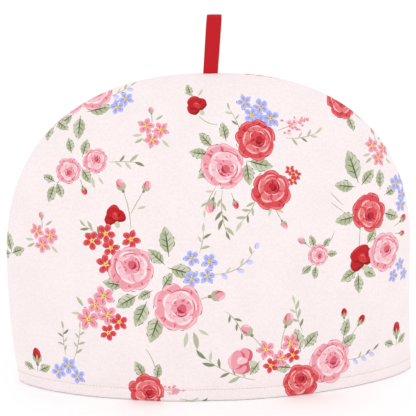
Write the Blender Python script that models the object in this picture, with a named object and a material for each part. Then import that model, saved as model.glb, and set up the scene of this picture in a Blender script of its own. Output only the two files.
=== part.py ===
"""A tea cosy: two padded cotton panels, sewn together round a dome-shaped seam, with a folded tape loop
sewn into the top of the seam.

Metres, +Z up. The cosy stands on its hem at z = 0, opened as for a teapot, with the seam in the plane y = 0.
The front panel faces -Y, and +X is on its right.
"""

import math

import bmesh
import bpy
from mathutils import Vector

# Driving sizes of the whole cosy. Its seam is sunk in a groove, which takes about 3 mm off its outline.
WIDTH = 0.333
HEIGHT = 0.2518
DEPTH = 0.136
WALL = 0.008
PIECE_GAP = 0.0003

# The dome's outline: a superellipse above the widest level, and nearly straight sides below it.
WIDEST_LEVEL = 0.100
OUTLINE_POWER = 2.35
HEM_TUCK = {"left": 0.0095, "right": 0.0020}

# How the panels bow out between the seam's two sides, and close towards the top.
BOW_POWER = 0.64
CLOSE_START = 2.2
CLOSE_POWER = 0.64
RIGHT_CORNER_BACK = 0.006

# The seam holds the padding down, in a groove between the two panels.
GROOVE_DEPTH = 0.0030
GROOVE_REACH = 0.0070
SEAM_ALLOWANCE = 0.006

# Grid of each panel's face, closer together near the seam, where the padding rolls in.
CELLS_ACROSS = 40
CELLS_UP = 22
EDGE_CROWDING = 1.0
CORNER_LEVEL_SHARE = 0.75

# The loop is one strip of folded tape.
TAPE_WIDTH = 0.0116
TAPE_THICKNESS = 0.0011
LOOP_RISE = 0.0460
LOOP_HALF_GAP = 0.0034
LOOP_FOOT_HALF_GAP = 0.0007
LOOP_LEAN = 0.0030
LOOP_SEAT_DEPTH = 0.0022
LEG_STEPS = 14
TOP_STEPS = 12

COTTON = {"colour": (0.94, 0.82, 0.81, 1.0), "roughness": 0.85}
RED_TAPE = {"colour": (0.60, 0.008, 0.025, 1.0), "roughness": 0.7}


class Dome:
    """One dome-shaped skin of the cosy: the sewn line with the given half width, height and half depth."""

    def __init__(self, half_width, height, half_depth):
        self.half_width = half_width
        self.height = height
        self.half_depth = half_depth

    def width_at(self, level, side):
        """Half the width at this level."""
        if level > WIDEST_LEVEL:
            rise = min(1.0, (level - WIDEST_LEVEL) / (self.height - WIDEST_LEVEL))
            return self.half_width * (1 - rise**OUTLINE_POWER) ** (1 / OUTLINE_POWER)
        drop = 1 - level / WIDEST_LEVEL
        return self.half_width - HEM_TUCK[side] * drop**2

    def crown_at(self, across):
        """Level of the outline's top at this distance from the middle."""
        share = min(1.0, abs(across) / self.half_width)
        arch = (1 - share**OUTLINE_POWER) ** (1 / OUTLINE_POWER)
        return WIDEST_LEVEL + (self.height - WIDEST_LEVEL) * arch

    def depth_at(self, across, level):
        """Distance of the skin from the seam's plane."""
        width = self.width_at(level, "right" if across > 0 else "left")
        if width <= 0:
            return 0.0
        rise = min(1.0, level / self.height)
        closing = (1 - rise**CLOSE_START) ** CLOSE_POWER
        bow = max(0.0, 1 - (across / width) ** 2) ** BOW_POWER
        return self.half_depth * closing * bow

    def outline_patch(self, u, v):
        """Place in the front view of grid point u from -1 to 1 and v from 0 to 1: a Coons patch, whose
        edges are the hem, the two sides and the top of the outline."""
        corner_level = WIDEST_LEVEL + CORNER_LEVEL_SHARE * (self.height - WIDEST_LEVEL)
        corner_width = self.width_at(corner_level, "right")
        right_share = (u + 1) / 2
        side_level = v * corner_level
        right = Vector((self.width_at(side_level, "right"), side_level))
        left = Vector((-self.width_at(side_level, "left"), side_level))
        hem_left = Vector((-self.width_at(0, "left"), 0))
        hem_right = Vector((self.width_at(0, "right"), 0))
        hem = hem_left.lerp(hem_right, right_share)
        top = Vector((corner_width * u, self.crown_at(corner_width * u)))
        top_left = Vector((-corner_width, corner_level))
        top_right = Vector((corner_width, corner_level))
        corners = hem_left.lerp(hem_right, right_share).lerp(top_left.lerp(top_right, right_share), v)
        return hem.lerp(top, v) + left.lerp(right, right_share) - corners


def crowded(share):
    """share, from 0 to 1, moved towards 1, so that grid lines crowd there."""
    return (1 - EDGE_CROWDING) * share + EDGE_CROWDING * math.sin(share * math.pi / 2)


def seam_offset(across, level):
    """How far the seam stands back of its plane: a little at the right hem corner."""
    to_right = max(0.0, across / (WIDTH / 2)) ** 2
    to_hem = max(0.0, 1 - level / HEIGHT) ** 2
    return RIGHT_CORNER_BACK * to_right * to_hem


def skin_point(dome, u, v):
    """A point of the front panel's skin, drawn in where it is close to the seam."""
    across, level = dome.outline_patch(u, v)
    depth = dome.depth_at(across, level)
    sunk = GROOVE_DEPTH * max(0.0, 1 - depth / GROOVE_REACH) ** 2
    inward = -Vector((across, max(0.0, level - WIDEST_LEVEL))).normalized()
    across, level = across + sunk * inward.x, level + sunk * inward.y
    return Vector((across, seam_offset(across, level) - PIECE_GAP / 2 - depth, level))


def add_skin(bm, dome, inside):
    """Adds a grid shaped to the dome, and returns its boundary edges."""
    made = bmesh.ops.create_grid(bm, x_segments=CELLS_ACROSS, y_segments=CELLS_UP, size=1.0)
    vertices = made["verts"]
    for vertex in vertices:
        u = math.copysign(crowded(abs(vertex.co.x)), vertex.co.x)
        v = crowded((vertex.co.y + 1) / 2)
        vertex.co = skin_point(dome, u, v)
    faces = {face for vertex in vertices for face in vertex.link_faces}
    if inside:
        bmesh.ops.reverse_faces(bm, faces=list(faces))
    return [edge for edge in {e for f in faces for e in f.edges} if edge.is_boundary]


def link_object(name, bm, material):
    """Makes the closed bmesh an object that faces outwards and is shaded smooth, apart from its folded edges."""
    bmesh.ops.recalc_face_normals(bm, faces=bm.faces)
    if bm.calc_volume(signed=True) < 0:
        bmesh.ops.reverse_faces(bm, faces=bm.faces)
    mesh = bpy.data.meshes.new(name)
    bm.to_mesh(mesh)
    bm.free()
    mesh.materials.append(material)
    mesh.shade_smooth()
    mesh.set_sharp_from_angle(angle=math.radians(50))
    made = bpy.data.objects.new(name, mesh)
    bpy.context.scene.collection.objects.link(made)
    return made


def make_panel(name, behind, material):
    """One padded panel: a printed outer skin, and a lining a wall's thickness inside it, joined along the
    seam and the hem. The one behind is the front one, mirrored in the seam's plane."""
    outside = Dome(WIDTH / 2, HEIGHT, DEPTH / 2)
    lining = Dome(WIDTH / 2 - SEAM_ALLOWANCE, HEIGHT - SEAM_ALLOWANCE, DEPTH / 2 - WALL)
    bm = bmesh.new()
    edges = add_skin(bm, outside, inside=False) + add_skin(bm, lining, inside=True)
    bmesh.ops.bridge_loops(bm, edges=edges)
    if behind:
        for vertex in bm.verts:
            offset = seam_offset(vertex.co.x, vertex.co.z)
            vertex.co.y = 2 * offset - vertex.co.y
    return link_object(name, bm, material)


def loop_line():
    """Centre line of the tape in the YZ plane, as (y, z) from the foot: up, over the top and down."""
    straight_rise = LOOP_RISE - LOOP_HALF_GAP - TAPE_THICKNESS / 2
    leg = []
    for step in range(LEG_STEPS):
        share = step / LEG_STEPS
        opening = math.sin(share * math.pi / 2) ** 1.6
        half_gap = LOOP_FOOT_HALF_GAP + (LOOP_HALF_GAP - LOOP_FOOT_HALF_GAP) * opening
        leg.append((half_gap, straight_rise * share))
    top = []
    for step in range(TOP_STEPS + 1):
        turn = math.pi * step / TOP_STEPS
        top.append((-LOOP_HALF_GAP * math.cos(turn), straight_rise + LOOP_HALF_GAP * math.sin(turn)))
    return [(-y, z) for y, z in leg] + top + leg[::-1]


def make_loop(material):
    """The tape's profile, extruded across its width, with the lean that it has above the seam."""
    line = [Vector(point) for point in loop_line()]
    sides = {1: [], -1: []}
    for index, point in enumerate(line):
        along = (line[min(index + 1, len(line) - 1)] - line[max(index - 1, 0)]).normalized()
        across = Vector((-along.y, along.x))
        for side, points in sides.items():
            points.append(point + across * side * TAPE_THICKNESS / 2)
    foot = HEIGHT - LOOP_SEAT_DEPTH
    bm = bmesh.new()
    profile = [bm.verts.new((-TAPE_WIDTH / 2, y, foot + z)) for y, z in sides[1] + sides[-1][::-1]]
    face = bm.faces.new(profile)
    moved = bmesh.ops.extrude_face_region(bm, geom=[face])["geom"]
    far_side = [item for item in moved if isinstance(item, bmesh.types.BMVert)]
    bmesh.ops.translate(bm, verts=far_side, vec=(TAPE_WIDTH, 0, 0))
    for vertex in bm.verts:
        rise = max(0.0, vertex.co.z - foot) / LOOP_RISE
        vertex.co.x += LOOP_LEAN * rise
    return link_object("loop", bm, material)


def make_material(name, colour, roughness):
    material = bpy.data.materials.new(name)
    material.use_nodes = True
    shader = material.node_tree.nodes["Principled BSDF"]
    shader.inputs["Base Color"].default_value = colour
    shader.inputs["Roughness"].default_value = roughness
    shader.inputs["Metallic"].default_value = 0.0
    return material


def main():
    for old in list(bpy.data.objects):
        bpy.data.objects.remove(old)
    cotton = make_material("printed_cotton", **COTTON)
    tape = make_material("red_tape", **RED_TAPE)
    make_panel("front_panel", behind=False, material=cotton)
    make_panel("back_panel", behind=True, material=cotton)
    make_loop(tape)


main()
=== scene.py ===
"""A padded tea cosy of flower-printed cotton, standing on its hem, with a red tape loop in its top seam."""
import cmath
import math
import random

import bmesh
import bpy
import numpy as np
from mathutils import Matrix, Vector, geometry, noise
from mathutils.bvhtree import BVHTree


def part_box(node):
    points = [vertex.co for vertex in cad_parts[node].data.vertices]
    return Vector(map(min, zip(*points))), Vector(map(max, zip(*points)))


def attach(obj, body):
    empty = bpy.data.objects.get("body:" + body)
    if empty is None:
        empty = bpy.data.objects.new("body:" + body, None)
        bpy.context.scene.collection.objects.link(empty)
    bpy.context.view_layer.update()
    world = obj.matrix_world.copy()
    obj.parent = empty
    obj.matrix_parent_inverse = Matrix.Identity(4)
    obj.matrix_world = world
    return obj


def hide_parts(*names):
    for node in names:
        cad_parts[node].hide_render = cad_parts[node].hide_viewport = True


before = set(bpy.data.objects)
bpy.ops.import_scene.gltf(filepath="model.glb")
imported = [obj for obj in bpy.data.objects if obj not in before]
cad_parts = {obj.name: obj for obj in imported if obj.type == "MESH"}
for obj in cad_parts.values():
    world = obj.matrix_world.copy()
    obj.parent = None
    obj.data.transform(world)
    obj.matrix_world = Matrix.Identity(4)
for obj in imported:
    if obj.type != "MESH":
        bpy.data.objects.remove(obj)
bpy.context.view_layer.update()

bpy.ops.object.select_all(action="DESELECT")

MM = 0.001
TAU = math.tau

# The cosy's sizes come from the frame.
PANEL_LOW, PANEL_HIGH = (Vector(corner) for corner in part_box("front_panel"))
LOOP_LOW, LOOP_HIGH = (Vector(corner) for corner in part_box("loop"))
GROOVE_DEPTH = 1.6 * MM
GROOVE_REACH = 6 * MM
HALF_WIDTH = PANEL_HIGH.x + 0.4 * MM
HEIGHT = PANEL_HIGH.z + 0.4 * MM
HALF_DEPTH = -PANEL_LOW.y
HALF_GAP = 0.1 * MM

# The dome's outline and bow, as the frame's, apart from how the soft ends of the hem lie: the left one tucks
# in, and the right one flares.
WIDEST_LEVEL = 100 * MM
OUTLINE_POWER = 2.35
LEFT_TUCK = 7.5 * MM
RIGHT_TUCK = -4.5 * MM
BOW_POWER = 0.64
CLOSE_START = 2.2
CLOSE_POWER = 0.64
CORNER_LEVEL_SHARE = 0.75
RIGHT_CORNER_BACK = 6 * MM

# Padding.
WALL = 8 * MM
SEAM_ALLOWANCE = 6 * MM
HEM_THICKNESS = 3.2 * MM
HEM_STITCH_LEVEL = 9.4 * MM
HEM_ROUNDING = 1.2 * MM
STITCHING_DEPTH = 0.45 * MM
STITCHING_REACH = 1.3 * MM
HEM_FLATTENING = 0.9 * MM

# Unevenness of the padding.
HOLLOW_SIZE = 55 * MM
HOLLOW_DEPTH = 1.5 * MM
PUCKER_SIZE = 12 * MM
PUCKER_DEPTH = 0.7 * MM
SEAM_RIPPLE_DRIFT = 31 * MM
HEM_RIPPLE_DRIFT = 37 * MM

# The weave's threads, and how near the flat cloth a point in millimetres has to be to lie on it.
THREAD_PITCH = 0.42 * MM
EDGE_TOLERANCE = 0.02

# Grid of each panel's cloth, and of its lining.
CLOTH_CELLS = (120, 72)
LINING_CELLS = (44, 26)


def linear(red, green, blue):
    """A colour as the eye sees it, from 0 to 255, as the shader needs it."""
    shares = (red / 255, green / 255, blue / 255)
    return tuple(s / 12.92 if s <= 0.04045 else ((s + 0.055) / 1.055) ** 2.4 for s in shares)


# ---------------------------------------------------------------- the dome

class Dome:
    """One dome-shaped skin of the cosy, seen from the front: across is X, level is Z, and depth runs
    from the seam's plane towards the front."""

    def __init__(self, half_width, height, half_depth):
        self.half_width = half_width
        self.height = height
        self.half_depth = half_depth

    def width_at(self, across, level):
        """Half the width at this level, on the side that across is on."""
        rise = np.clip((level - WIDEST_LEVEL) / (self.height - WIDEST_LEVEL), 0, 1)
        above = self.half_width * (1 - rise**OUTLINE_POWER) ** (1 / OUTLINE_POWER)
        tuck = np.where(across > 0, RIGHT_TUCK, LEFT_TUCK)
        below = self.half_width - tuck * (1 - level / WIDEST_LEVEL) ** 2
        return np.where(level > WIDEST_LEVEL, above, below)

    def crown_at(self, across):
        """Level of the outline's top at this distance from the middle."""
        share = np.clip(np.abs(across) / self.half_width, 0, 1)
        arch = (1 - share**OUTLINE_POWER) ** (1 / OUTLINE_POWER)
        return WIDEST_LEVEL + (self.height - WIDEST_LEVEL) * arch

    def depth_at(self, across, level):
        """Distance of the skin from the seam's plane."""
        width = np.maximum(self.width_at(across, level), 1e-6)
        closing = (1 - np.clip(level / self.height, 0, 1) ** CLOSE_START) ** CLOSE_POWER
        bow = np.clip(1 - (across / width) ** 2, 0, 1) ** BOW_POWER
        return self.half_depth * closing * bow

    def front_view(self, u, v):
        """Across and level of the grid points u, from -1 to 1, and v, from 0 to 1. The grid's edges
        are the hem, the two sides and the top of the outline."""
        corner_level = WIDEST_LEVEL + CORNER_LEVEL_SHARE * (self.height - WIDEST_LEVEL)
        corner_width = self.width_at(np.ones(1), np.full(1, corner_level))[0]
        right_share = (u + 1) / 2
        right = self.width_at(np.ones_like(v), v * corner_level)
        left = -self.width_at(-np.ones_like(v), v * corner_level)
        return left + (right - left) * right_share, self.crown_at(corner_width * u) * v


def seam_offset(across, level):
    """How far the seam stands back of its plane: a little at the right hem corner."""
    to_right = np.clip(across / HALF_WIDTH, 0, 1) ** 2
    to_hem = np.clip(1 - level / HEIGHT, 0, 1) ** 2
    return RIGHT_CORNER_BACK * to_right * to_hem


def grid_shares(cells):
    """Grid points u and v, closer together towards the seam."""
    columns, rows = cells
    u = np.sin(np.linspace(-1, 1, columns + 1) * math.pi / 2)
    v = np.sin(np.linspace(0, 1, rows + 1) * math.pi / 2)
    return np.meshgrid(u, v)


OUTSIDE = Dome(HALF_WIDTH, HEIGHT, HALF_DEPTH)
LINING = Dome(HALF_WIDTH - SEAM_ALLOWANCE, HEIGHT - SEAM_ALLOWANCE, HALF_DEPTH - WALL)


def unroll(across, level):
    """Where points of the outside lie on the flat cloth, in millimetres: each is as far from the middle as the
    cloth between them is long. Above the widest level that is measured out from one point, below it level."""
    from_level = np.minimum(level, WIDEST_LEVEL)
    rise = level - from_level
    reach = np.hypot(across, rise)
    steps = np.sin(np.linspace(0, 1, 60) * math.pi / 2)
    length = np.zeros_like(across)
    last_depth = OUTSIDE.depth_at(across * 0, from_level)
    for before, step in zip(steps[:-1], steps[1:]):
        depth = OUTSIDE.depth_at(across * step, from_level + rise * step)
        length += np.hypot(reach * (step - before), depth - last_depth)
        last_depth = depth
    stretch = np.where(reach > 1e-6, length / np.maximum(reach, 1e-6), 1)
    return across * stretch / MM, (from_level + rise * stretch) / MM


def outer_points(side):
    """The cloth's grid points in space, for the front panel if side is -1 and for the back one if it is 1."""
    across, level = OUTSIDE.front_view(*grid_shares(CLOTH_CELLS))
    depth = OUTSIDE.depth_at(across, level)
    sunk = GROOVE_DEPTH * np.clip(1 - depth / GROOVE_REACH, 0, 1) ** 2
    inward_across = -across
    inward_level = -np.clip(level - WIDEST_LEVEL, 0, None)
    size = np.maximum(np.hypot(inward_across, inward_level), 1e-6)
    across = across + sunk * inward_across / size
    level = level + sunk * inward_level / size
    out = depth + unevenness(across, level, depth, side)
    return np.stack([across, side * (HALF_GAP + out) + seam_offset(across, level), level], axis=-1)


def unevenness(across, level, depth, side):
    """How far the wadding stands out or sinks in: soft hollows all over, and small puckers along the seam and
    the hem, where the stitches draw the cloth together."""
    hollows = np.zeros_like(across)
    for index in np.ndindex(across.shape):
        place = Vector((across[index], level[index], 0.3 * side)) / HOLLOW_SIZE
        hollows[index] = noise.noise(place) + 0.4 * noise.noise(place * 2.3)
    inside = np.clip(depth / (25 * MM), 0, 1)
    around = np.arctan2(level - WIDEST_LEVEL, across) * HALF_WIDTH
    ripple = np.sin(around / PUCKER_SIZE * TAU + 2.5 * np.sin(around / SEAM_RIPPLE_DRIFT))
    at_seam = np.clip(depth / (3 * MM), 0, 1) * np.exp(-depth / (9 * MM)) * (level > 3 * MM)
    hem_ripple = np.sin(across / PUCKER_SIZE * TAU + 2.1 * np.sin(across / HEM_RIPPLE_DRIFT))
    at_hem = np.exp(-(((level - HEM_STITCH_LEVEL - 4 * MM) / (6 * MM)) ** 2)) * inside
    return HOLLOW_DEPTH * hollows * inside + PUCKER_DEPTH * (ripple * at_seam + 0.5 * hem_ripple * at_hem)


# ---------------------------------------------------------------- the print

PINK = {
    "pale": (253, 232, 234), "light": (248, 200, 207), "mid": (240, 160, 174),
    "deep": (218, 96, 116), "dark": (178, 42, 68), "ink": (74, 42, 58),
}
CORAL = {
    "pale": (248, 190, 190), "light": (234, 122, 124), "mid": (221, 75, 84),
    "deep": (192, 36, 50), "dark": (138, 16, 30), "ink": (84, 26, 38),
}
CRIMSON = {
    "pale": (232, 96, 92), "light": (214, 52, 54), "mid": (194, 26, 34),
    "deep": (158, 14, 24), "dark": (108, 8, 16), "ink": (66, 14, 24),
}
BLUE = {
    "pale": (232, 232, 252), "light": (212, 213, 249), "mid": (178, 184, 242),
    "deep": (132, 142, 226), "dark": (84, 90, 180), "ink": (44, 44, 84),
}
LEAF = {
    "pale": (222, 224, 206), "light": (204, 207, 182), "mid": (182, 188, 156),
    "deep": (136, 143, 106), "dark": (86, 92, 58), "ink": (52, 54, 42),
}
EYE = {"ring": (206, 146, 60), "middle": (248, 222, 86), "dot": (120, 104, 44)}
STEM = (186, 183, 158)
GROUND = (250, 238, 239)
LINING_COLOUR = (247, 243, 238)


class PrintedCloth:
    """The shapes printed on a piece of cloth, in millimetres, the later ones over the earlier ones."""

    def __init__(self, seed):
        self.random = random.Random(seed)
        self.shapes = []

    def fill(self, outline, ink, place=0, turn=1):
        self.shapes.append(([place + turn * point for point in outline], ink))

    def jitter(self, size):
        return self.random.uniform(-size, size)


class Lobe:
    """An uneven oval, such as a petal, with its edge given by the angle round it."""

    def __init__(self, cloth, long, wide, uneven=0.10):
        self.long = long
        self.wide = wide
        self.waves = [
            (count, uneven * cloth.random.uniform(0.4, 1.0) * 1.6 / count, cloth.random.uniform(0, TAU))
            for count in (2, 3, 5)
        ]

    def at(self, angle, share=1.0):
        wave = 1 + sum(size * math.cos(count * angle + phase) for count, size, phase in self.waves)
        return share * wave * complex(self.long * math.cos(angle), self.wide * math.sin(angle))

    def outline(self, steps=20):
        return [self.at(TAU * step / steps) for step in range(steps)]

    def crescent(self, middle, span, thickness, steps=9, inset=0.0):
        """The band inside its edge round the middle angle, thinning out towards its ends."""
        outer = []
        inner = []
        for step in range(steps):
            angle = middle + span * (step / (steps - 1) - 0.5)
            outer.append(self.at(angle, 1 - inset))
            if 0 < step < steps - 1:
                inner.append(self.at(angle, 1 - inset - thickness * math.sin(math.pi * step / (steps - 1))))
        return outer + inner[::-1]


def brush_stroke(points, width, ends=0.3):
    """Outline of a stroke along the points, narrower at its ends."""
    last = len(points) - 1
    left = []
    right = []
    for step, point in enumerate(points):
        along = points[min(step + 1, last)] - points[max(step - 1, 0)]
        half = width / 2 * (ends + (1 - ends) * math.sin(math.pi * step / last))
        side = along / abs(along) * 1j * half
        left.append(point + side)
        right.append(point - side)
    return left + right[::-1]


def curve(length, bend, steps=6):
    """Points along a curve that starts at 0, heads along the real axis and turns by bend."""
    points = [0j]
    for step in range(steps):
        points.append(points[-1] + cmath.rect(length / steps, bend * (step + 0.5) / steps))
    return points


def petal_ring(cloth, place, radius, inks, heading, count, at, long, wide, layers):
    """A ring of overlapping petals. layers names the inks of their middle, their edge and their shaded base."""
    middle, edge, base = layers
    for petal in range(count):
        angle = heading + TAU * petal / count + cloth.jitter(0.16)
        lobe = Lobe(cloth, long * radius, wide * radius)
        centre = place + cmath.rect(radius * (at + cloth.jitter(0.03)), angle)
        turn = cmath.rect(1, angle)
        cloth.fill(lobe.outline(), inks[middle], centre, turn)
        cloth.fill(lobe.crescent(math.pi + cloth.jitter(0.5), 3.2, 0.55), inks[base], centre, turn)
        cloth.fill(lobe.crescent(cloth.jitter(0.5), 2.2, 0.26, inset=0.10), inks[edge], centre, turn)
        streak = [lobe.at(0.3 + cloth.jitter(0.4), share) for share in (0.15, 0.4, 0.62)]
        cloth.fill(brush_stroke(streak, 0.07 * radius), inks[base], centre, turn)


def rose(cloth, place, radius, inks, heading=0.0):
    """A full rose: three rings of petals round a heart that lies a little to one side."""
    heart = place + cmath.rect(0.14 * radius, heading - 1.1)
    between = (place + heart) / 2
    petal_ring(cloth, place, radius, inks, heading, 7, 0.62, 0.36, 0.43, ("mid", "light", "deep"))
    for dash in range(6):
        angle = heading + TAU * dash / 6 + cloth.jitter(0.4)
        arc = [place + cmath.rect(radius * 0.94, angle + turn) for turn in (-0.10, 0, 0.10)]
        cloth.fill(brush_stroke(arc, 0.55), inks["ink"])
    petal_ring(cloth, between, radius, inks, heading + 0.5, 5, 0.38, 0.33, 0.38, ("light", "pale", "mid"))
    petal_ring(cloth, heart, radius, inks, heading + 1.3, 4, 0.22, 0.24, 0.26, ("mid", "pale", "deep"))
    cup = Lobe(cloth, 0.25 * radius, 0.20 * radius)
    turn = cmath.rect(1, heading + 0.7)
    cloth.fill(cup.outline(16), inks["deep"], heart, turn)
    cloth.fill(cup.crescent(0.4, 3.4, 0.5), inks["mid"], heart, turn)
    cloth.fill(cup.crescent(2.6, 2.6, 0.4, inset=0.15), inks["dark"], heart, turn)
    for swirl in (0.34, 0.52, 0.70):
        start = heading + swirl * 9
        arc = [heart + cmath.rect(radius * swirl, start + 0.34 * step) for step in range(5)]
        cloth.fill(brush_stroke(arc, 0.055 * radius), inks["dark" if swirl < 0.5 else "deep"])


def side_rose(cloth, place, radius, inks, heading=math.pi / 2):
    """A rose from the side, opening in the direction of its heading, with its green cup behind it."""
    turn = cmath.rect(1, heading)
    for side in (-1, 1):
        sepal = [turn * point for point in (-0.75, -0.45 + side * 0.30j, -0.1 + side * 0.62j)]
        cloth.fill(brush_stroke([place + radius * point for point in sepal], 0.30 * radius, 0.2), LEAF["mid"])
    knob = Lobe(cloth, 0.26 * radius, 0.20 * radius)
    cloth.fill(knob.outline(12), LEAF["light"], place - turn * 0.80 * radius, turn)
    for offset, long, wide in ((-0.15 - 0.42j, 0.52, 0.50), (-0.15 + 0.42j, 0.52, 0.50), (0.28, 0.56, 0.66)):
        lobe = Lobe(cloth, long * radius, wide * radius, 0.13)
        centre = place + turn * offset * radius
        cloth.fill(lobe.outline(), inks["mid"], centre, turn)
        cloth.fill(lobe.crescent(math.pi, 3.0, 0.42), inks["deep"], centre, turn)
        cloth.fill(lobe.crescent(cloth.jitter(0.4), 2.0, 0.24, inset=0.08), inks["light"], centre, turn)
    middle = place - turn * 0.12 * radius
    fold = Lobe(cloth, 0.40 * radius, 0.30 * radius, 0.14)
    cloth.fill(fold.outline(16), inks["light"], middle, turn)
    cloth.fill(fold.crescent(2.4, 3.0, 0.5), inks["deep"], middle, turn)
    cloth.fill(fold.crescent(-0.6, 1.8, 0.3, inset=0.2), inks["pale"], middle, turn)


def blossom(cloth, place, radius, inks, heading=0.0):
    """A flat flower of five petals, with a yellow eye."""
    for petal in range(5):
        angle = heading + TAU * petal / 5 + cloth.jitter(0.12)
        turn = cmath.rect(1, angle)
        lobe = Lobe(cloth, 0.40 * radius, 0.33 * radius, 0.08)
        centre = place + turn * 0.60 * radius
        cloth.fill(lobe.outline(14), inks["mid"], centre, turn)
        cloth.fill(lobe.crescent(cloth.jitter(0.5), 2.6, 0.36, 7), inks["light"], centre, turn)
        streak = [place + turn * radius * share for share in (0.22, 0.45, 0.68)]
        cloth.fill(brush_stroke(streak, 0.13 * radius), inks["deep"])
        if cloth.random.random() < 0.45:
            tick = [place + turn * radius * cmath.rect(1.0, side) for side in (-0.14, 0.0, 0.14)]
            cloth.fill(brush_stroke(tick, 0.5), inks["ink"])
    cloth.fill(Lobe(cloth, 0.25 * radius, 0.25 * radius).outline(10), EYE["ring"], place)
    cloth.fill(Lobe(cloth, 0.19 * radius, 0.19 * radius).outline(10), EYE["middle"], place)
    cloth.fill(Lobe(cloth, 0.07 * radius, 0.07 * radius).outline(6), EYE["dot"], place + 0.05 * radius)


def rosebud(cloth, place, length, inks, heading):
    """A bud with its tip in the direction of its heading, held by three green sepals."""
    turn = cmath.rect(1, heading)
    body = Lobe(cloth, 0.48 * length, 0.33 * length, 0.05)
    centre = place + turn * 0.55 * length
    cloth.fill(body.outline(16), inks["mid"], centre, turn)
    cloth.fill(body.crescent(1.9, 2.6, 0.6), inks["deep"], centre, turn)
    cloth.fill(body.crescent(-0.8, 2.0, 0.4, inset=0.1), inks["light"], centre, turn)
    for side in (-1, 0, 1):
        bowed = [complex(share, side * 0.36 * math.sin(share * 2.6)) for share in (0, 0.3, 0.6)]
        sepal = [place + turn * length * point for point in bowed]
        cloth.fill(brush_stroke(sepal, 0.20 * length, 0.15), LEAF["mid"])
    cloth.fill(Lobe(cloth, 0.14 * length, 0.12 * length).outline(8), LEAF["deep"], place, turn)


def leaf(cloth, place, length, heading, width=0.56, bend=0.0):
    """A toothed leaf, one half of it in shade, with its veins. Its stalk is at place."""
    turn = cmath.rect(1, heading)
    spine = curve(length, bend, 10)
    edges = {-1: [], 1: []}
    for side, edge in edges.items():
        for step in range(1, 10):
            share = step / 10
            tooth = 1.08 if step % 2 else 0.95
            half = 0.5 * width * length * math.sin(math.pi * share**0.82) ** 0.9 * tooth
            along = spine[step + 1] - spine[step - 1]
            edge.append(spine[step] + side * half * 1j * along / abs(along))
    cloth.fill([spine[0]] + edges[-1] + [spine[10]] + edges[1][::-1], LEAF["light"], place, turn)
    shaded = cloth.random.choice((-1, 1))
    cloth.fill(spine + edges[shaded][::-1], LEAF["mid"], place, turn)
    midrib = [-0.14 * length * cmath.exp(1j * bend)] + spine[:9]
    cloth.fill(brush_stroke(midrib, 0.045 * length + 0.25, 0.25), LEAF["dark"], place, turn)
    for step in (2, 4, 6):
        for side in (-1, 1):
            tip = spine[step] + 0.80 * (edges[side][min(step + 1, 8)] - spine[step])
            vein = [spine[step], (spine[step] + tip) / 2 + 0.01 * length, tip]
            ink = LEAF["dark"] if side == shaded and step < 5 else LEAF["deep"]
            cloth.fill(brush_stroke(vein, 0.024 * length + 0.22), ink, place, turn)
    for dash in cloth.random.sample(range(1, 8), 3):
        first, last = edges[-shaded][dash:dash + 2]
        cloth.fill(brush_stroke([first, (first + last) / 2, last], 0.6, 0.5), LEAF["ink"], place, turn)


def stalk(cloth, place, length, heading, bend=0.0, width=0.75):
    """A thin stem, and the place and heading of its end."""
    turn = cmath.rect(1, heading)
    points = curve(length, bend, 8)
    cloth.fill(brush_stroke(points, width, 0.55), STEM, place, turn)
    return place + turn * points[-1], heading + bend


def leaflet(cloth, place, length, heading, ink):
    """A small plain leaf, in one stroke."""
    turn = cmath.rect(1, heading)
    points = [place + turn * point for point in curve(length, cloth.jitter(0.5), 4)]
    cloth.fill(brush_stroke(points, 0.30 * length, 0.12), ink)


def sprig(cloth, place, length, heading, bend=0.5, leaflets=6, size=6.0, tips=None):
    """A curved twig with leaflets to both sides, and with small bells instead of some, if tips names inks."""
    turn = cmath.rect(1, heading)
    points = curve(length, bend, 10)
    cloth.fill(brush_stroke(points, 0.7, 0.5), STEM, place, turn)
    for number in range(leaflets):
        step = 2 + round(8 * number / max(1, leaflets - 1))
        at = place + turn * points[step]
        side = 1 if number % 2 else -1
        angle = heading + bend * step / 10 + side * (0.75 + cloth.jitter(0.2)) * (0.2 if step == 10 else 1)
        if tips and number % 2 == 0:
            bell = Lobe(cloth, 0.42 * size, 0.26 * size, 0.12)
            centre = at + cmath.rect(0.55 * size, angle)
            cloth.fill(bell.outline(10), tips["light"], centre, cmath.rect(1, angle))
            cloth.fill(bell.crescent(2.2, 3.0, 0.6, 6), tips["mid"], centre, cmath.rect(1, angle))
        else:
            long = size * (1 + cloth.jitter(0.2))
            leaflet(cloth, at, long, angle, LEAF[cloth.random.choice(("light", "mid", "deep"))])


def spray(cloth, place, length, heading, inks):
    """A plume of tiny flowers along a twig, with dark specks."""
    end, heading = stalk(cloth, place, length, heading, cloth.jitter(0.3))
    for speck in range(int(length * 1.3)):
        share = cloth.random.uniform(0.1, 1.05)
        across = cloth.jitter(1) * 0.26 * length * math.sin(math.pi * min(1, 0.25 + 0.7 * share))
        at = place + (end - place) * complex(share, across / length)
        tiny = Lobe(cloth, cloth.random.uniform(1.0, 1.7), cloth.random.uniform(0.9, 1.5), 0.2)
        cloth.fill(tiny.outline(8), inks[cloth.random.choice(("light", "mid", "mid"))], at)
        if cloth.random.random() < 0.5:
            dot = Lobe(cloth, 0.45, 0.45)
            cloth.fill(dot.outline(5), inks["dark"], at + complex(cloth.jitter(0.6), cloth.jitter(0.6)))


def cluster(cloth, place, radius, inks, offsets):
    """Blossoms at these offsets, of slightly different sizes."""
    for across, up in offsets:
        blossom(cloth, place + complex(across, up), radius * (1 + cloth.jitter(0.1)), inks, cloth.jitter(1.2))


def small_blossoms(cloth, place, radius, inks, offsets):
    """Blossoms at these offsets, all of one size."""
    for across, up in offsets:
        blossom(cloth, place + complex(across, up), radius, inks, cloth.jitter(1))


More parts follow.
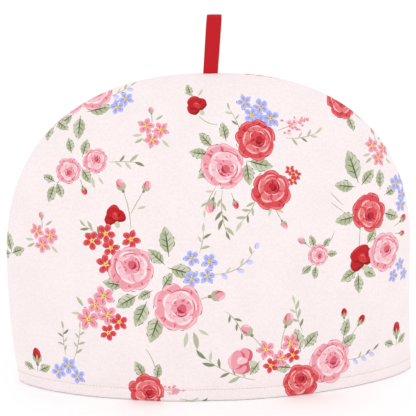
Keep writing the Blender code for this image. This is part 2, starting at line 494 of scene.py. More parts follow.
def bud_on_stalk(cloth, place, length, heading, bend, size, inks, tip=None):
    """A stem with a bud at its end, that heads on along the stem, or as tip says."""
    end, along = stalk(cloth, place, length, heading, bend)
    rosebud(cloth, end, size, inks, along if tip is None else tip)


# Each spray is a list of its motifs, the later ones over the earlier ones. A motif is followed by a row for
# each time it is drawn: how far it lies across and up from the spray's place, in millimetres, and then what
# else the motif's function takes.

# A pink and two coral roses, with blue flowers above them and twigs below.
GRAND_BOUQUET = (
    (leaf,
     (-30, 8, 15, 3.0), (-27, 15, 14, 2.3), (-28, -1, 14, 3.9), (-15, 20, 14, 1.75),
     (4, 2, 19, -0.35, 0.56, 0.2), (1, 0, 17, -1.45)),
    (sprig,
     (-2, 22, 24, 1.75, 0.4, 5, 6), (34, 20, 26, -0.15, 0.5, 6, 7), (-19, -20, 32, -1.75, 0.5, 7, 8),
     (-24, -17, 20, -2.2, 0.3, 4, 7), (8, -26, 22, -1.9, -0.5, 6, 8)),
    (bud_on_stalk, (20, -30, 17, -1.15, 0.1, 7, PINK)),
    (leaflet, (22, -34, 9, -0.7, LEAF['light']), (20, -34, 8, -2.0, LEAF['light'])),
    (bud_on_stalk, (-24, -20, 7, -2.0, 0.1, 11, PINK), (-12, -22, 6, -1.3, 0.1, 7, CORAL)),
    (spray, (28, 26, 27, 0.35, PINK)),
    (cluster, (0, 0, 7.2, BLUE, ((2, 50), (15, 46), (7, 39), (23, 36), (14, 33)))),
    (rose, (20, -21, 16.5, CORAL, 2.4)),
    (small_blossoms, (0, 0, 4.2, CORAL, ((36, -6), (41, -10), (38, -14)))),
    (rose, (-18, -1, 18.5, PINK, 0.4), (9, 19, 17, CORAL, 1.2)),
)

# A single crimson flower on a looping stem.
FLAME_SPRAY = (
    (stalk, (2, -9, 17, -0.9, 0.9)),
    (leaf, (-4, 9, 10, 1.9)),
    (leaflet, (-2, 8, 8, 2.6, LEAF['mid']), (2, 8, 7, 0.9, LEAF['light'])),
    (side_rose, (0, 0, 9.5, CRIMSON, 2.2)),
)

# A coral rose over a pink one, with a crimson flower, blue flowers and many leaves.
SIDE_BOUQUET = (
    (leaf,
     (-10, 28, 25, 1.85), (-14, 22, 17, 3.0), (-5, 24, 16, 0.75), (-14, -2, 18, 3.3), (12, 20, 15, 1.5),
     (18, 14, 14, 0.4), (16, -2, 16, -0.3), (-2, -24, 13, 0.9)),
    (stalk, (-8, -6, 30, -1.75, 0.2), (-24, 8, 15, 2.4, -0.1), (-24, 3, 13, 2.55, -0.1)),
    (leaf, (-13, -46, 16, 3.6), (-11, -50, 15, -1.5), (-6, -46, 14, -0.5)),
    (cluster,
     (0, 0, 7, BLUE, ((30, 22), (37, 12), (40, 25), (35, 3))),
     (0, 0, 6, BLUE, ((34, -48), (26, -56), (40, -57)))),
    (bud_on_stalk, (26, -14, 8, 0.3, 0.2, 9, CORAL), (26, -20, 6, -0.2, 0.1, 7, CORAL)),
    (side_rose, (-8, -36, 13, CRIMSON, 2.0)),
    (rose, (15, -34, 17, PINK, 2.0), (0, 0, 16.5, CORAL, 0.2)),
)

# Two pink roses on a leafy branch, with small red, pink and blue flowers round them.
TWIN_BOUQUET = (
    (leaf,
     (2, 24, 21, 1.7), (-2, 16, 16, 2.4), (4, 12, 19, -0.25), (-34, -2, 16, 3.0), (-24, -10, 18, -2.6),
     (-16, -16, 20, -2.0), (-6, -26, 22, -1.9), (-12, -6, 12, -2.6), (-2, -2, 13, 1.0)),
    (leaflet,
     (16, -38, 12, -1.7, LEAF['light']), (21, -38, 14, -1.2, LEAF['mid']),
     (25, -36, 9, -0.6, LEAF['light'])),
    (sprig,
     (34, 8, 42, -0.2, 1.3, 7, 7, BLUE), (26, 24, 16, 1.2, 0.3, 4, 7), (-50, 34, 16, 2.4, 0.3, 5, 8),
     (46, -22, 22, -0.6, -0.7, 5, 6)),
    (bud_on_stalk, (-27, 42, 30, 1.6, 0.35, 10, PINK), (-27, 54, 20, 1.1, -0.1, 9, PINK)),
    (leaflet, (-22, 58, 7, 0.2, LEAF['light']), (-31, 50, 7, 2.4, LEAF['light'])),
    (side_rose, (-40, 52, 9.5, CRIMSON, 1.9)),
    (cluster,
     (0, 0, 7.2, BLUE, ((20, 20), (34, 17), (20, 4), (32, 6))),
     (0, 0, 7.6, CORAL, ((-58, 32), (-47, 38), (-43, 27), (-27, 34), (-47, 14))),
     (0, 0, 8.2, PINK, ((-56, -18), (-46, -26))), (0, 0, 9.0, PINK, ((-62, -30), (-49, -11))),
     (0, 0, 7.0, CORAL, ((-37, -31), (-46, -40)))),
    (leaflet, (-66, -20, 9, 2.2, LEAF['mid']), (-68, -26, 8, 3.2, LEAF['light'])),
    (bud_on_stalk, (26, -12, 8, 0.3, -0.1, 12, PINK, 0.1)),
    (rose, (-27, 11, 18.5, PINK, 2.6), (9, -18, 20, PINK, 0.9)),
)

# A pink and a coral rose, with buds and small flowers, and a long twig.
HEM_BOUQUET = (
    (leaf,
     (-6, 16, 18, 1.8), (-2, 18, 16, 0.8), (30, 14, 16, 0.5), (32, 22, 15, 1.3), (-14, 2, 15, 3.0),
     (-40, 8, 12, -2.2)),
    (sprig,
     (-42, -6, 44, 2.95, -0.5, 8, 9), (36, 2, 26, -0.1, 0.5, 6, 7, BLUE), (-4, 30, 24, 2.0, -0.3, 6, 7)),
    (bud_on_stalk,
     (-22, 18, 18, 1.5, -0.3, 11, PINK), (-34, 16, 18, 2.2, 0.1, 11, PINK),
     (36, 18, 15, 0.8, 0.1, 9, CRIMSON), (32, 20, 17, 1.5, 0.1, 8, CRIMSON)),
    (side_rose, (-54, 10, 12, PINK, 2.9)),
    (cluster,
     (0, 0, 7.6, PINK, ((-34, 18), (-22, 10), (-14, 22))), (0, 0, 6.6, CORAL, ((-30, 5), (-12, 12)))),
    (rose, (20, 3, 18.5, PINK, 1.4), (-5, -11, 15.5, CORAL, 2.9)),
)

# Two small pink roses side by side.
ROSE_PAIR = (
    (leaf,
     (-10, 12, 12, 1.8), (0, 10, 13, 1.3), (0, -2, 13, -1.0), (-24, -12, 11, 2.7), (-21, -14, 12, -1.2),
     (-24, -16, 14, -1.9)),
    (stalk, (-16, -6, 14, -2.2, 0.2)),
    (sprig, (22, 4, 20, 0.1, -0.2, 5, 8)),
    (leaflet, (8, -8, 9, -1.5, LEAF['light']), (13, -8, 7, -0.9, LEAF['light'])),
    (bud_on_stalk, (-2, -10, 6, -1.2, 0, 7, CORAL)),
    (rose, (-12, -3, 11, PINK, 0.3), (10, 5, 10.5, PINK, 2.2)),
)

# Three pink roses in a row, with leaves under them.
RIM_ROSES = (
    (leaf,
     (-12, -9, 17, -2.5), (-4, -12, 18, -1.6), (4, -6, 19, 0.2), (-32, -16, 15, -1.6),
     (-25, -14, 14, -0.6)),
    (sprig, (18, 6, 22, 0.3, 0.4, 6, 7, BLUE)),
    (cluster, (0, 0, 6, BLUE, ((34, 4), (27, -3)))),
    (rose, (-34, -4, 15, CORAL, 0.6), (-14, 8, 16, PINK, 0.6), (6, 10, 16, PINK, 2.1)),
)

# Three small pink flowers with a bud above them.
BLOSSOM_TRIO = (
    (leaflet,
     (-8, -4, 8, 3.3, LEAF['light']), (-7, -7, 8, -2.6, LEAF['mid']), (8, -8, 8, -0.9, LEAF['light']),
     (3, 8, 7, 0.6, LEAF['mid'])),
    (bud_on_stalk, (0, 6, 7, 1.6, 0.1, 6, PINK)),
    (cluster, (0, 0, 6.8, PINK, ((-5, 3), (7, 0), (0, -8)))),
)

# A small pink rose with a bud and leaves.
SMALL_ROSE = (
    (leaf, (-3, 7, 10, 1.9), (5, 6, 9, 0.9), (8, 0, 9, 0.0), (-6, -8, 10, -2.5), (-2, -9, 10, -1.7)),
    (bud_on_stalk, (-5, 6, 7, 2.6, -0.2, 7, PINK, 2.5)),
    (stalk, (8, 8, 12, 0.6, 0.8)),
    (rose, (0, 0, 8.8, PINK, 1.1)),
)

# A coral rose with a few pink buds.
CORAL_ROSE = (
    (leaf, (4, -12, 13, -1.3)),
    (leaflet, (12, -8, 9, -0.7, LEAF['light'])),
    (spray, (8, 6, 16, 0.1, PINK)),
    (rose, (0, 0, 14.5, CORAL, 2.2)),
)

# A tuft of blue flowers with twigs above it.
BLUE_TUFT = (
    (sprig, (-2, 8, 22, 1.8, -0.3, 6, 6), (5, 6, 26, 1.2, 0.3, 6, 6)),
    (cluster, (0, 0, 7, BLUE, ((0, 0), (-9, -6), (8, -8)))),
)

# A coral rose with a plume of tiny pink flowers beside it.
HEM_ROSE = (
    (leaf, (-2, 12, 14, 2.1), (8, 11, 12, 1.4)),
    (stalk, (8, 14, 22, 1.7, 0.5)),
    (sprig, (26, -6, 24, -0.1, -0.3, 6, 6)),
    (spray, (8, 2, 20, -0.1, PINK)),
    (rose, (0, 0, 14.5, CORAL, 0.9)),
)

# A crimson bud with two leaves.
BUD_SPRAY = (
    (leaf, (3, -2, 12, 0.5), (-4, -2, 11, 2.8)),
    (bud_on_stalk, (0, -4, 7, 1.4, 0.2, 13, CRIMSON)),
)

# A few leaves on their own.
LOOSE_LEAVES = (
    (leaf, (0, 0, 17, 1.9), (2, -2, 14, 0.4), (-2, -3, 15, 3.4)),
)

# Where the sprays lie on each panel's cloth, across from the middle and up from the hem, in millimetres.
FRONT_SPRAYS = (
    (RIM_ROSES, -106, 236),
    (CORAL_ROSE, 112, 234),
    (FLAME_SPRAY, -14, 234),
    (BLOSSOM_TRIO, -50, 214),
    (GRAND_BOUQUET, 24, 186),
    (ROSE_PAIR, -106, 184),
    (BLOSSOM_TRIO, 141, 194),
    (SIDE_BOUQUET, 128, 142),
    (SMALL_ROSE, 81, 112),
    (BLOSSOM_TRIO, -140, 128),
    (LOOSE_LEAVES, -172, 112),
    (TWIN_BOUQUET, -40, 94),
    (BUD_SPRAY, -150, 18),
    (BLUE_TUFT, -120, 24),
    (HEM_ROSE, -56, 8),
    (HEM_BOUQUET, 72, 22),
    (BUD_SPRAY, 160, 30),
)
BACK_SPRAYS = (
    (GRAND_BOUQUET, -98, 178),
    (TWIN_BOUQUET, 96, 128),
    (SIDE_BOUQUET, 4, 172),
    (HEM_BOUQUET, -52, 34),
    (ROSE_PAIR, 70, 214),
    (BLOSSOM_TRIO, -44, 234),
    (BLOSSOM_TRIO, 134, 206),
    (BLOSSOM_TRIO, -150, 92),
    (SMALL_ROSE, -92, 106),
    (SMALL_ROSE, 158, 84),
    (FLAME_SPRAY, -152, 156),
    (BLUE_TUFT, 30, 60),
    (HEM_ROSE, 118, 12),
    (BUD_SPRAY, 42, 14),
    (LOOSE_LEAVES, -140, 40),
    (CORAL_ROSE, 42, 258),
    (BUD_SPRAY, -128, 4),
)


def printed(seed, sprays):
    """The cloth of one panel with its sprays."""
    cloth = PrintedCloth(seed)
    for motifs, across, up in sprays:
        for motif, *rows in motifs:
            for beside, above, *rest in rows:
                motif(cloth, complex(across, up) + complex(beside, above), *rest)
    return cloth


# ---------------------------------------------------------------- the cloth

class Cloth:
    """One panel's cloth: a grid of points in space, and where each of them lies on the flat cloth."""

    def __init__(self, side):
        self.side = side
        self.columns, self.rows = CLOTH_CELLS
        self.points = outer_points(side)
        across, level = OUTSIDE.front_view(*grid_shares(CLOTH_CELLS))
        self.flat = np.stack(unroll(across, level), axis=-1)
        self.corners = self.triangle_corners()
        flat_points = [(x, y, 0.0) for x, y in self.flat.reshape(-1, 2)]
        self.tree = BVHTree.FromPolygons(flat_points, [tuple(corner) for corner in self.corners])

    def triangle_corners(self):
        """Two triangles for each cell of the grid, as numbers of its points."""
        row, column = np.mgrid[0:self.rows, 0:self.columns]
        low_left = (row * (self.columns + 1) + column).ravel()
        low_right = low_left + 1
        high_left = low_left + self.columns + 1
        high_right = high_left + 1
        first = np.stack([low_left, low_right, high_right], axis=1)
        second = np.stack([low_left, high_right, high_left], axis=1)
        return np.stack([first, second], axis=1).reshape(-1, 3)

    def border(self):
        """The cut edge on the flat cloth, anticlockwise from the hem's left end."""
        flat = self.flat
        edges = (flat[0, :-1], flat[:-1, -1], flat[-1, :0:-1], flat[:0:-1, 0])
        return np.concatenate(edges)

    def holds(self, flat_point):
        """Whether a point of the flat cloth lies within its cut edge."""
        return self.tree.find_nearest((flat_point.real, flat_point.imag, 0.0))[3] < EDGE_TOLERANCE

    def grid_places(self, flat_points):
        """Column and row, with their fractions, of points of the flat cloth."""
        found = np.array([self.tree.find_nearest((x, y, 0.0))[2] for x, y in flat_points])
        corners = self.corners[found]
        flat = self.flat.reshape(-1, 2)
        first, second, third = (flat[corners[:, k]] for k in range(3))
        to_second, to_third, to_point = second - first, third - first, flat_points - first
        area = np.cross(to_second, to_third)
        at_second = np.clip(np.cross(to_point, to_third) / area, 0, 1)
        at_third = np.clip(np.cross(to_second, to_point) / area, 0, 1)
        column = corners % (self.columns + 1)
        row = corners // (self.columns + 1)
        places = []
        for number in (column, row):
            step_second = number[:, 1] - number[:, 0]
            step_third = number[:, 2] - number[:, 0]
            places.append(number[:, 0] + at_second * step_second + at_third * step_third)
        return np.clip(places[0], 0, self.columns), np.clip(places[1], 0, self.rows)

    def in_space(self, column, row):
        """Points in space at these columns and rows, on a smooth surface through the grid's points."""
        padded = np.pad(self.points, ((1, 1), (1, 1), (0, 0)), mode="reflect", reflect_type="odd")
        left = np.minimum(column.astype(int), self.columns - 1)
        below = np.minimum(row.astype(int), self.rows - 1)
        along, up = smooth_weights(column - left), smooth_weights(row - below)
        total = 0
        for step_up in range(4):
            for step_along in range(4):
                weight = (along[step_along] * up[step_up])[:, None]
                total = total + weight * padded[below + step_up, left + step_along]
        return total


def smooth_weights(share):
    """How much each of four points in a row counts, share of the way from the second to the third."""
    return (
        (-share + 2 * share**2 - share**3) / 2,
        (2 - 5 * share**2 + 3 * share**3) / 2,
        (share + 4 * share**2 - 3 * share**3) / 2,
        (-share**2 + share**3) / 2,
    )


def hem_levels():
    """Levels, in millimetres, at which the cloth gets a row of points: at its fold and at its stitching."""
    fold = (0.25, 0.6, 1.1, 2.0, 4.5)
    stitching = tuple(HEM_STITCH_LEVEL / MM + step for step in (-2.2, -1.2, -0.6, 0.0, 0.6, 1.2, 2.2, 4.5))
    return fold + stitching


def within(outline, points):
    """Which points lie within a closed outline, by how often it winds round them."""
    x, y = points[:, 0, None], points[:, 1, None]
    x0, y0 = outline[:, 0], outline[:, 1]
    x1, y1 = np.roll(x0, -1), np.roll(y0, -1)
    left_of = (x1 - x0) * (y - y0) - (x - x0) * (y1 - y0)
    rising = ((y0 <= y) & (y1 > y) & (left_of > 0)).sum(axis=1)
    falling = ((y0 > y) & (y1 <= y) & (left_of < 0)).sum(axis=1)
    return rising != falling


def cut_out(cloth, printed_cloth):
    """Divides the flat cloth into triangles along the outlines of its print. Returns its points, triangles
    and the ink of each triangle."""
    border = cloth.border()
    outlines = [(border, GROUND)]
    for outline, ink in printed_cloth.shapes:
        if any(cloth.holds(point) for point in outline[::3]):
            outlines.append((np.array([(point.real, point.imag) for point in outline]), ink))
    points = []
    edges = []
    for outline, _ in outlines:
        first = len(points)
        points += [Vector(point) for point in outline]
        edges += [(first + k, first + (k + 1) % len(outline)) for k in range(len(outline))]
    points += [Vector(point) for point in cloth.flat[1:-1, 1:-1].reshape(-1, 2)]
    for level in hem_levels():
        left = np.interp(level, cloth.flat[:, 0, 1], cloth.flat[:, 0, 0]) + 0.05
        right = np.interp(level, cloth.flat[:, -1, 1], cloth.flat[:, -1, 0]) - 0.05
        points += [Vector((x, level)) for x in np.linspace(left, right, 140)]
    made = geometry.delaunay_2d_cdt(points, edges, [], 0, 1e-3, False)
    flat_points = np.array([point[:] for point in made[0]])
    faces = np.array(made[2])
    middles = flat_points[faces].mean(axis=1)
    shape_of = np.full(len(faces), -1)
    for number, (outline, _) in enumerate(outlines):
        low, high = outline.min(axis=0), outline.max(axis=0)
        near = np.nonzero(((middles >= low) & (middles <= high)).all(axis=1))[0]
        covered = near[within(outline, middles[near])]
        shape_of[covered if number == 0 else covered[shape_of[covered] >= 0]] = number
    kept = np.nonzero(shape_of >= 0)[0]
    return flat_points, faces[kept].tolist(), [outlines[shape_of[k]][1] for k in kept]


def round_the_hem(places, level, side):
    """Turns the lowest edge of the cloth in, and draws it down along the hem's stitching."""
    below = np.clip(HEM_ROUNDING - level, 0, HEM_ROUNDING)
    turned = HEM_ROUNDING - np.sqrt(HEM_ROUNDING**2 - below**2)
    from_stitching = (level - HEM_STITCH_LEVEL) / STITCHING_REACH
    drawn = STITCHING_DEPTH * np.exp(-from_stitching**2)
    flatter = HEM_FLATTENING * np.clip(1 - level / (HEM_STITCH_LEVEL + 5 * MM), 0, 1) ** 0.5
    places[:, 1] -= side * (turned + drawn + flatter * np.clip(np.abs(places[:, 1]) / (20 * MM), 0, 1))
    return places


def rim_position(column_share, row_share):
    """How far round the panel's edge a point on it is, from 0 at the hem's left end to 4."""
    return np.select(
        [row_share < 1e-4, column_share > 1 - 1e-4, row_share > 1 - 1e-4],
        [column_share, 1 + row_share, 3 - column_share],
        4 - row_share,
    )


def lining_points(side):
    """The lining's grid points in space. Down to the hem it closes in on the cloth."""
    across, level = LINING.front_view(*grid_shares(LINING_CELLS))
    depth = LINING.depth_at(across, level)
    hem_depth = OUTSIDE.depth_at(across, level) - HEM_THICKNESS
    above_hem = np.clip((level - HEM_STITCH_LEVEL) / (2 * HEM_STITCH_LEVEL), 0, 1)
    depth = np.maximum(depth, hem_depth + (depth - hem_depth) * above_hem)
    return np.stack([across, side * (HALF_GAP + depth) + seam_offset(across, level), level], axis=-1)


def cut_edge(faces):
    """The corners along the open edge of these triangles."""
    sides = {(face[k], face[(k + 1) % 3]) for face in faces for k in range(3)}
    return {first for first, second in sides if (second, first) not in sides}


def rim_faces(outer, inner):
    """Triangles between two loops of (position round the edge, vertex number)."""
    faces = []
    at_outer = at_inner = 0
    while at_outer < len(outer) or at_inner < len(inner):
        here_outer, here_inner = outer[at_outer % len(outer)][1], inner[at_inner % len(inner)][1]
        next_outer = outer[at_outer + 1][0] if at_outer + 1 < len(outer) else 4.0 + outer[0][0]
        next_inner = inner[at_inner + 1][0] if at_inner + 1 < len(inner) else 4.0 + inner[0][0]
        step_outer = at_inner >= len(inner) or (at_outer < len(outer) and next_outer <= next_inner)
        if step_outer:
            at_outer += 1
            faces.append((here_outer, outer[at_outer % len(outer)][1], here_inner))
        else:
            at_inner += 1
            faces.append((here_outer, inner[at_inner % len(inner)][1], here_inner))
    return faces


def make_panel(name, cloth, printed_cloth):
    """One panel as a closed piece: its printed cloth, its lining, and the edge between them."""
    flat_points, faces, inks = cut_out(cloth, printed_cloth)
    column, row = cloth.grid_places(flat_points)
    places = round_the_hem(cloth.in_space(column, row), flat_points[:, 1] * MM, cloth.side)
    columns, rows = LINING_CELLS
    lining = lining_points(cloth.side)
    first = len(places)
    number = first + np.arange((columns + 1) * (rows + 1)).reshape(rows + 1, columns + 1)
    lining_faces = [
        (number[j, i], number[j + 1, i], number[j + 1, i + 1], number[j, i + 1])
        for j in range(rows) for i in range(columns)
    ]
    position = rim_position(column / cloth.columns, row / cloth.rows)
    outer = sorted((position[corner], corner) for corner in cut_edge(faces))
    share_u, share_v = np.meshgrid(np.linspace(0, 1, columns + 1), np.linspace(0, 1, rows + 1))
    inner_position = rim_position(share_u, share_v)
    on_edge = (share_u % 1 == 0) | (share_v % 1 == 0)
    inner = sorted(zip(inner_position[on_edge], number[on_edge]))
    rim = rim_faces(outer, inner)
    vertices = np.concatenate([places, lining.reshape(-1, 3)])
    flat_all = np.concatenate([flat_points * MM, lining.reshape(-1, 3)[:, (0, 2)]])
    plain = [LINING_COLOUR] * (len(lining_faces) + len(rim))
    return make_cloth_object(name, vertices, faces + lining_faces + rim, inks + plain, flat_all)


def link_piece(mesh, bm):
    """Puts the bmesh into the mesh, shades it smooth and makes it a piece of the scene."""
    bm.to_mesh(mesh)
    bm.free()
    mesh.shade_smooth()
    piece = bpy.data.objects.new(mesh.name, mesh)
    bpy.context.scene.collection.objects.link(piece)
    return piece


def make_cloth_object(name, vertices, faces, inks, flat):
    """The piece with these faces, each in its ink. flat gives the places of its points on the flat cloth."""
    mesh = bpy.data.meshes.new(name)
    corners = [tuple(int(corner) for corner in face) for face in faces]
    mesh.from_pydata([tuple(vertex) for vertex in vertices], [], corners)
    colour = mesh.color_attributes.new("Print", "FLOAT_COLOR", "CORNER")
    paints = {ink: (*linear(*ink), 1.0) for ink in set(inks)}
    values = [paints[ink] for ink, face in zip(inks, corners) for _ in face]
    colour.data.foreach_set("color", np.array(values, dtype=np.float32).ravel())
    layer = mesh.uv_layers.new(name="Flat")
    corner_vertices = np.empty(len(mesh.loops), dtype=np.int32)
    mesh.loops.foreach_get("vertex_index", corner_vertices)
    layer.uv.foreach_set("vector", np.asarray(flat, dtype=np.float32)[corner_vertices].ravel())
    bm = bmesh.new()
    bm.from_mesh(mesh)
    loose = [vertex for vertex in bm.verts if not vertex.link_faces]
    bmesh.ops.delete(bm, geom=loose, context="VERTS")
    bmesh.ops.recalc_face_normals(bm, faces=bm.faces)
    if bm.calc_volume(signed=True) < 0:
        bmesh.ops.reverse_faces(bm, faces=bm.faces)
    piece = link_piece(mesh, bm)
    mesh.set_sharp_from_angle(angle=math.radians(55))
    return piece


# ---------------------------------------------------------------- finishes

class Finish:
    """A material whose nodes are added one by one."""

    def __init__(self, name, roughness, sheen):
        self.material = bpy.data.materials.new(name)
        self.material.use_nodes = True
        self.tree = self.material.node_tree
        self.shader = self.tree.nodes["Principled BSDF"]
        self.shader.inputs["Roughness"].default_value = roughness
        self.shader.inputs["Sheen Weight"].default_value = sheen
        self.shader.inputs["Sheen Roughness"].default_value = 0.5
        self.shader.inputs["Specular IOR Level"].default_value = 0.25

    def add(self, kind, links=(), **settings):
        """Adds a node, sets its settings or its inputs by name, and links (output, input name) pairs into it."""
        node = self.tree.nodes.new(kind)
        for key, value in settings.items():
            if hasattr(node, key):
                setattr(node, key, value)
            else:
                node.inputs[key.replace("_", " ")].default_value = value
        for output, name in links:
            self.tree.links.new(output, node.inputs[name])
        return node

    def uv(self, scale):
        """The cloth's own flat coordinates, times scale."""
        flat = self.add("ShaderNodeUVMap", uv_map="Flat")
        scaled = self.add("ShaderNodeMapping", [(flat.outputs["UV"], "Vector")], Scale=(scale,) * 3)
        return scaled.outputs[0]

    def multiply(self, first, second):
        node = self.add("ShaderNodeMix", data_type="RGBA", blend_type="MULTIPLY")
        node.inputs["Factor"].default_value = 1.0
        self.tree.links.new(first, node.inputs["A"])
        self.tree.links.new(second, node.inputs["B"])
        return node.outputs["Result"]

    def ramp(self, source, low, high, dark, light):
        """Source between low and high, as a grey from dark to light."""
        links = [(source, "Value")]
        node = self.add("ShaderNodeMapRange", links, From_Min=low, From_Max=high, To_Min=dark, To_Max=light)
        return node.outputs["Result"]

    def bump(self, height, strength, distance, under=None):
        links = [(height, "Height")] + ([(under, "Normal")] if under else [])
        node = self.add("ShaderNodeBump", links, Strength=strength, Distance=distance)
        return node.outputs["Normal"]


def printed_cotton():
    """Plain-woven cotton with its print, which lies a little unevenly on the threads, and with painted shade in
    the gaps between the threads.
    """
    finish = Finish("printed cotton", 0.86, 0.12)
    ink = finish.add("ShaderNodeVertexColor", layer_name="Print").outputs["Color"]
    mottle = finish.add("ShaderNodeTexNoise", [(finish.uv(1 / (2.2 * MM)), "Vector")], Scale=1.0, Detail=3.0)
    wash = finish.add("ShaderNodeTexNoise", [(finish.uv(1 / (28 * MM)), "Vector")], Scale=1.0, Detail=2.0)
    inked = finish.multiply(ink, finish.ramp(mottle.outputs[0], 0.3, 0.7, 0.95, 1.02))
    inked = finish.multiply(inked, finish.ramp(wash.outputs[0], 0.3, 0.7, 0.975, 1.01))
    weave = []
    for direction in ("X", "Y"):
        threads = finish.add(
            "ShaderNodeTexWave", [(finish.uv(0.314 / THREAD_PITCH), "Vector")],
            bands_direction=direction, Scale=1.0, Distortion=0.6, Detail=1.0,
        )
        weave.append(threads.outputs["Fac"])
    woven = finish.add("ShaderNodeMath", operation="MULTIPLY")
    finish.tree.links.new(weave[0], woven.inputs[0])
    finish.tree.links.new(weave[1], woven.inputs[1])
    # Painted shade: the cloth's colour darkens where the weave's height is low, in the gaps between the threads.
    thread_gap_shade = finish.ramp(woven.outputs[0], 0.0, 0.6, 0.965, 1.0)
    finish.tree.links.new(finish.multiply(inked, thread_gap_shade), finish.shader.inputs["Base Color"])
    crumple = finish.add("ShaderNodeTexNoise", [(finish.uv(1 / (16 * MM)), "Vector")], Scale=1.0, Detail=2.0)
    soft = finish.bump(crumple.outputs[0], 0.25, 1.2 * MM)
    finish.tree.links.new(finish.bump(woven.outputs[0], 0.35, 0.08 * MM, soft), finish.shader.inputs["Normal"])
    return finish.material


def plain_thread(name, colour, roughness=0.6):
    """Thread or tape of one colour, uneven from strand to strand."""
    finish = Finish(name, roughness, 0.1)
    coordinates = finish.add("ShaderNodeTexCoord").outputs["Object"]
    scaled = finish.add("ShaderNodeMapping", [(coordinates, "Vector")], Scale=(1 / MM, 1 / MM, 1 / MM))
    strands = finish.add("ShaderNodeTexNoise", [(scaled.outputs[0], "Vector")], Scale=3.0, Detail=2.0)
    tint = finish.ramp(strands.outputs[0], 0.3, 0.7, 0.85, 1.05)
    base = finish.add("ShaderNodeRGB")
    base.outputs[0].default_value = (*linear(*colour), 1.0)
    finish.tree.links.new(finish.multiply(base.outputs[0], tint), finish.shader.inputs["Base Color"])
    finish.tree.links.new(finish.bump(strands.outputs[0], 0.4, 0.1 * MM), finish.shader.inputs["Normal"])
    return finish.material


# ---------------------------------------------------------------- the loop

TAPE_WIDTH = 11.6 * MM
TAPE_THICKNESS = 1.1 * MM
LOOP_HALF_GAP = 3.0 * MM
LOOP_FOOT_HALF_GAP = 0.7 * MM
LOOP_FOOT = LOOP_LOW.z - 2.0 * MM
TAPE_STITCHING_INSET = 1.3 * MM
TAPE_EDGE_ROUNDING = 0.5 * MM
TAPE_RED = (196, 10, 28)


def loop_path():
    """Centre line of the tape as (y, z): up at the front, over the pressed fold, down at the back."""
    rise = LOOP_HIGH.z - LOOP_FOOT - LOOP_HALF_GAP - TAPE_THICKNESS / 2
    leg = []
    for step in range(24):
        share = step / 24
        opening = math.sin(share * math.pi / 2) ** 1.6
        half_gap = LOOP_FOOT_HALF_GAP + (LOOP_HALF_GAP - LOOP_FOOT_HALF_GAP) * opening
        leg.append((half_gap, LOOP_FOOT + rise * share))
    fold = []
    for step in range(17):
        turn = math.pi * step / 16
        fold.append((-LOOP_HALF_GAP * math.cos(turn), LOOP_FOOT + rise + LOOP_HALF_GAP * math.sin(turn)))
    return [(-y, z) for y, z in leg] + fold + leg[::-1]


def tape_section():
    """Half thickness of the tape at places across it: thin at the rows of stitching, and rounded off at its
    edges."""
    half = TAPE_WIDTH / 2
    section = []
    for across in (0.0, 1.5, 3.0, 3.9, 4.3, 4.5, 4.75, 5.1, 5.45, 5.65, 5.76, 5.8):
        x = across * MM
        drawn = 0.16 * MM * math.exp(-((half - TAPE_STITCHING_INSET - x) / (0.28 * MM)) ** 2)
        from_edge = half - x
        edge = math.sqrt(max(0.0, 1 - max(0.0, 1 - from_edge / TAPE_EDGE_ROUNDING) ** 2))
        section.append((x, (TAPE_THICKNESS / 2 - drawn) * edge))
    return section


def make_loop():
    """The tape's section, carried along its path with the lean that the frame's loop has."""
    path = [Vector(point) for point in loop_path()]
    section = tape_section()
    ring = [(x, t) for x, t in section] + [(x, -t) for x, t in section[-2::-1]]
    ring += [(-x, -t) for x, t in section[1:]] + [(-x, t) for x, t in section[-2:0:-1]]
    bm = bmesh.new()
    rings = []
    lean = LOOP_LOW.x + LOOP_HIGH.x
    for index, point in enumerate(path):
        along = (path[min(index + 1, len(path) - 1)] - path[max(index - 1, 0)]).normalized()
        outward = Vector((-along.y, along.x))
        rise = max(0.0, point.y - LOOP_LOW.z) / (LOOP_HIGH.z - LOOP_LOW.z)
        verts = []
        for x, t in ring:
            place = point + outward * t
            narrower = 1 - 0.02 * math.sin(math.pi * index / (len(path) - 1)) ** 8
            verts.append(bm.verts.new((x * narrower + lean * rise, place.x, place.y)))
        rings.append(verts)
    for first, second in zip(rings[:-1], rings[1:]):
        for k in range(len(ring)):
            following = (k + 1) % len(ring)
            bm.faces.new((first[k], first[following], second[following], second[k]))
    bm.faces.new(rings[0][::-1])
    bm.faces.new(rings[-1])
    bmesh.ops.recalc_face_normals(bm, faces=bm.faces)
    length = sum((b - a).length for a, b in zip(path[:-1], path[1:]))
    return link_piece(bpy.data.meshes.new("tape_loop"), bm), length


# ---------------------------------------------------------------- the stitching

STITCH_LENGTH = 2.3 * MM
STITCH_PITCH = 2.8 * MM
STITCH_LIFT = 0.05 * MM
THREAD_RADIUS = 0.19 * MM


def model_stitch():
    """One stitch along X: a short, plump thread whose ends dive into the cloth."""
    bpy.ops.object.select_all(action="DESELECT")
    bpy.ops.mesh.primitive_uv_sphere_add(segments=8, ring_count=6, radius=1)
    stitch = bpy.context.object
    bpy.ops.object.mode_set(mode="EDIT")
    bpy.ops.mesh.select_all(action="SELECT")
    bpy.ops.transform.resize(value=(STITCH_LENGTH / 2, THREAD_RADIUS, THREAD_RADIUS))
    bpy.ops.object.mode_set(mode="OBJECT")
    return stitch


def stitch_row(name, line):
    """Stitches along a line of (place, normal), joined into one piece."""
    stitch = model_stitch()
    bm = bmesh.new()
    for (place, normal), (following, _) in zip(line[:-1], line[1:]):
        along = (following - place).normalized()
        upward = (normal - along * normal.dot(along)).normalized()
        copy = stitch.data.copy()
        stitch_axes = Matrix((along, upward.cross(along), upward)).transposed().to_4x4()
        stitch_axes.translation = (place + following) / 2 + upward * STITCH_LIFT
        copy.transform(stitch_axes)
        bm.from_mesh(copy)
        bpy.data.meshes.remove(copy)
    bpy.data.objects.remove(stitch)
    return link_piece(bpy.data.meshes.new(name), bm)


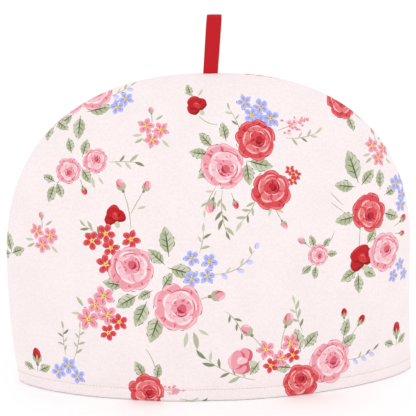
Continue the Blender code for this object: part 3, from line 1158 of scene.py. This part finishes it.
def hem_stitch_line(cloth):
    """Places along the hem's stitching, and the cloth's normal there."""
    level = HEM_STITCH_LEVEL / MM
    left = np.interp(level, cloth.flat[:, 0, 1], cloth.flat[:, 0, 0]) + 2
    right = np.interp(level, cloth.flat[:, -1, 1], cloth.flat[:, -1, 0]) - 2
    x = np.linspace(left, right, int((right - left) * MM / STITCH_PITCH))
    lines = []
    for height in (level, level + 2):
        column, row = cloth.grid_places(np.stack([x, np.full_like(x, height)], axis=-1))
        lines.append(round_the_hem(cloth.in_space(column, row), np.full_like(x, height * MM), cloth.side))
    line = []
    for number, place in enumerate(lines[0]):
        following = lines[0][min(number + 1, len(x) - 1)] - lines[0][max(number - 1, 0)]
        normal = Vector(np.cross(following, lines[1][number] - place)).normalized() * -cloth.side
        line.append((Vector(place), normal))
    return line


# ---------------------------------------------------------------- the studio

WORLD_STRENGTH = 1.03
CAMERA_DISTANCE = 1.25
CAMERA_ELEVATION = math.radians(12.5)
CAMERA_YAW = math.radians(5)
CAMERA_LENS = 134.2
CAMERA_TARGET = Vector((-0.002, 0, 0.1400))
LIGHT_TARGET = Vector((0, 0, 0.12))


def make_stage():
    """A pale floor and an even white sky."""
    bpy.ops.mesh.primitive_plane_add(size=8, location=(0, 0, -0.0002))
    floor = bpy.context.object
    floor.name = "floor"
    material = bpy.data.materials.new("pale floor")
    material.use_nodes = True
    shader = material.node_tree.nodes["Principled BSDF"]
    shader.inputs["Base Color"].default_value = (1.0, 1.0, 1.0, 1)
    shader.inputs["Roughness"].default_value = 0.9
    floor.data.materials.append(material)
    world = bpy.data.worlds.new("studio")
    bpy.context.scene.world = world
    world.use_nodes = True
    background = world.node_tree.nodes["Background"]
    background.inputs["Color"].default_value = (1, 1, 1, 1)
    background.inputs["Strength"].default_value = WORLD_STRENGTH


def area_light(name, place, size, power):
    data = bpy.data.lights.new(name, "AREA")
    data.shape = "DISK"
    data.size = size
    data.energy = power
    light = bpy.data.objects.new(name, data)
    light.location = place
    light.rotation_euler = (LIGHT_TARGET - Vector(place)).to_track_quat("-Z", "Y").to_euler()
    bpy.context.scene.collection.objects.link(light)


def make_camera():
    data = bpy.data.cameras.new("camera")
    data.lens = CAMERA_LENS
    data.sensor_width = 36
    camera = bpy.data.objects.new("camera", data)
    flat = math.cos(CAMERA_ELEVATION)
    away = Vector((-flat * math.sin(CAMERA_YAW), -flat * math.cos(CAMERA_YAW), math.sin(CAMERA_ELEVATION)))
    camera.location = CAMERA_TARGET + away * CAMERA_DISTANCE
    camera.rotation_euler = (-away).to_track_quat("-Z", "Y").to_euler()
    bpy.context.scene.collection.objects.link(camera)
    bpy.context.scene.camera = camera


# ---------------------------------------------------------------- making

def make_covers(front, back):
    cotton = printed_cotton()
    for name, cloth, sprays, seed, node in (
        ("front_cover", front, FRONT_SPRAYS, 11, "front_panel"),
        ("back_cover", back, BACK_SPRAYS, 23, "back_panel"),
    ):
        panel = make_panel(name, cloth, printed(seed, sprays))
        panel.data.materials.append(cotton)
        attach(panel, "root")
        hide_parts(node)


def make_hem_stitches(front, back):
    thread = plain_thread("hem thread", (214, 186, 176))
    for name, cloth in (("front_hem_stitches", front), ("back_hem_stitches", back)):
        stitches = stitch_row(name, hem_stitch_line(cloth))
        stitches.data.materials.append(thread)
        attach(stitches, "root")


def make_tape_loop():
    loop, length = make_loop()
    loop.data.materials.append(plain_thread("red tape", TAPE_RED, 0.75))
    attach(loop, "root")
    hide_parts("loop")


make_camera()
front_cloth = Cloth(-1)
back_cloth = Cloth(1)
make_covers(front_cloth, back_cloth)
make_hem_stitches(front_cloth, back_cloth)
make_tape_loop()
make_stage()
area_light("key", (-0.9, -1.6, 1.5), 1.2, 1.6)
area_light("fill", (1.3, -1.2, 0.9), 1.4, 0.8)
bpy.context.scene.view_settings.view_transform = "Standard"
